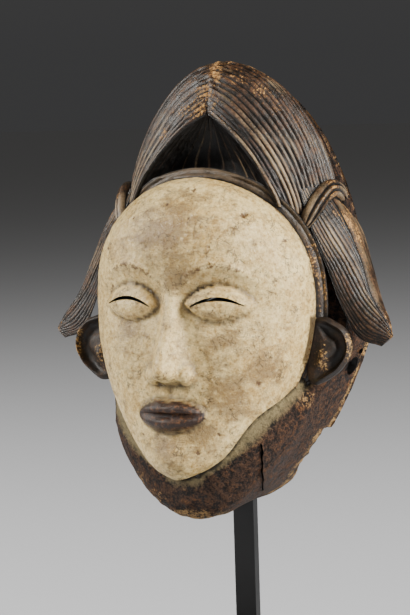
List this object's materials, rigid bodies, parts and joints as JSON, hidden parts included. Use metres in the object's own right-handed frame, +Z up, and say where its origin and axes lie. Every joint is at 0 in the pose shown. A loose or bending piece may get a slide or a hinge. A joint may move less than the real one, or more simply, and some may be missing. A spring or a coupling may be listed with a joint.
{
  "type": "punu mask on a stand",
  "caption": "Carved wooden mask with a whitened oval face, ribbed coiffure, flared side tresses and collar, hollow behind, held up on a black steel post and foot.",
  "frame": {"origin": "middle of the foot plate's underside", "axes": "+Z up, -Y the way the face looks, +X to the right of someone facing it"},
  "size_m": [0.2448, 0.164, 0.4266],
  "materials": {
    "mask_wood": "carved light wood with white clay on the face, dark brown lips and black-brown coiffure, worn satin",
    "stand_steel": "satin black paint"
  },
  "bodies": {
    "root": {"mask": "mask_wood", "stand_post": "stand_steel", "stand_foot": "stand_steel"}
  },
  "joints": []
}
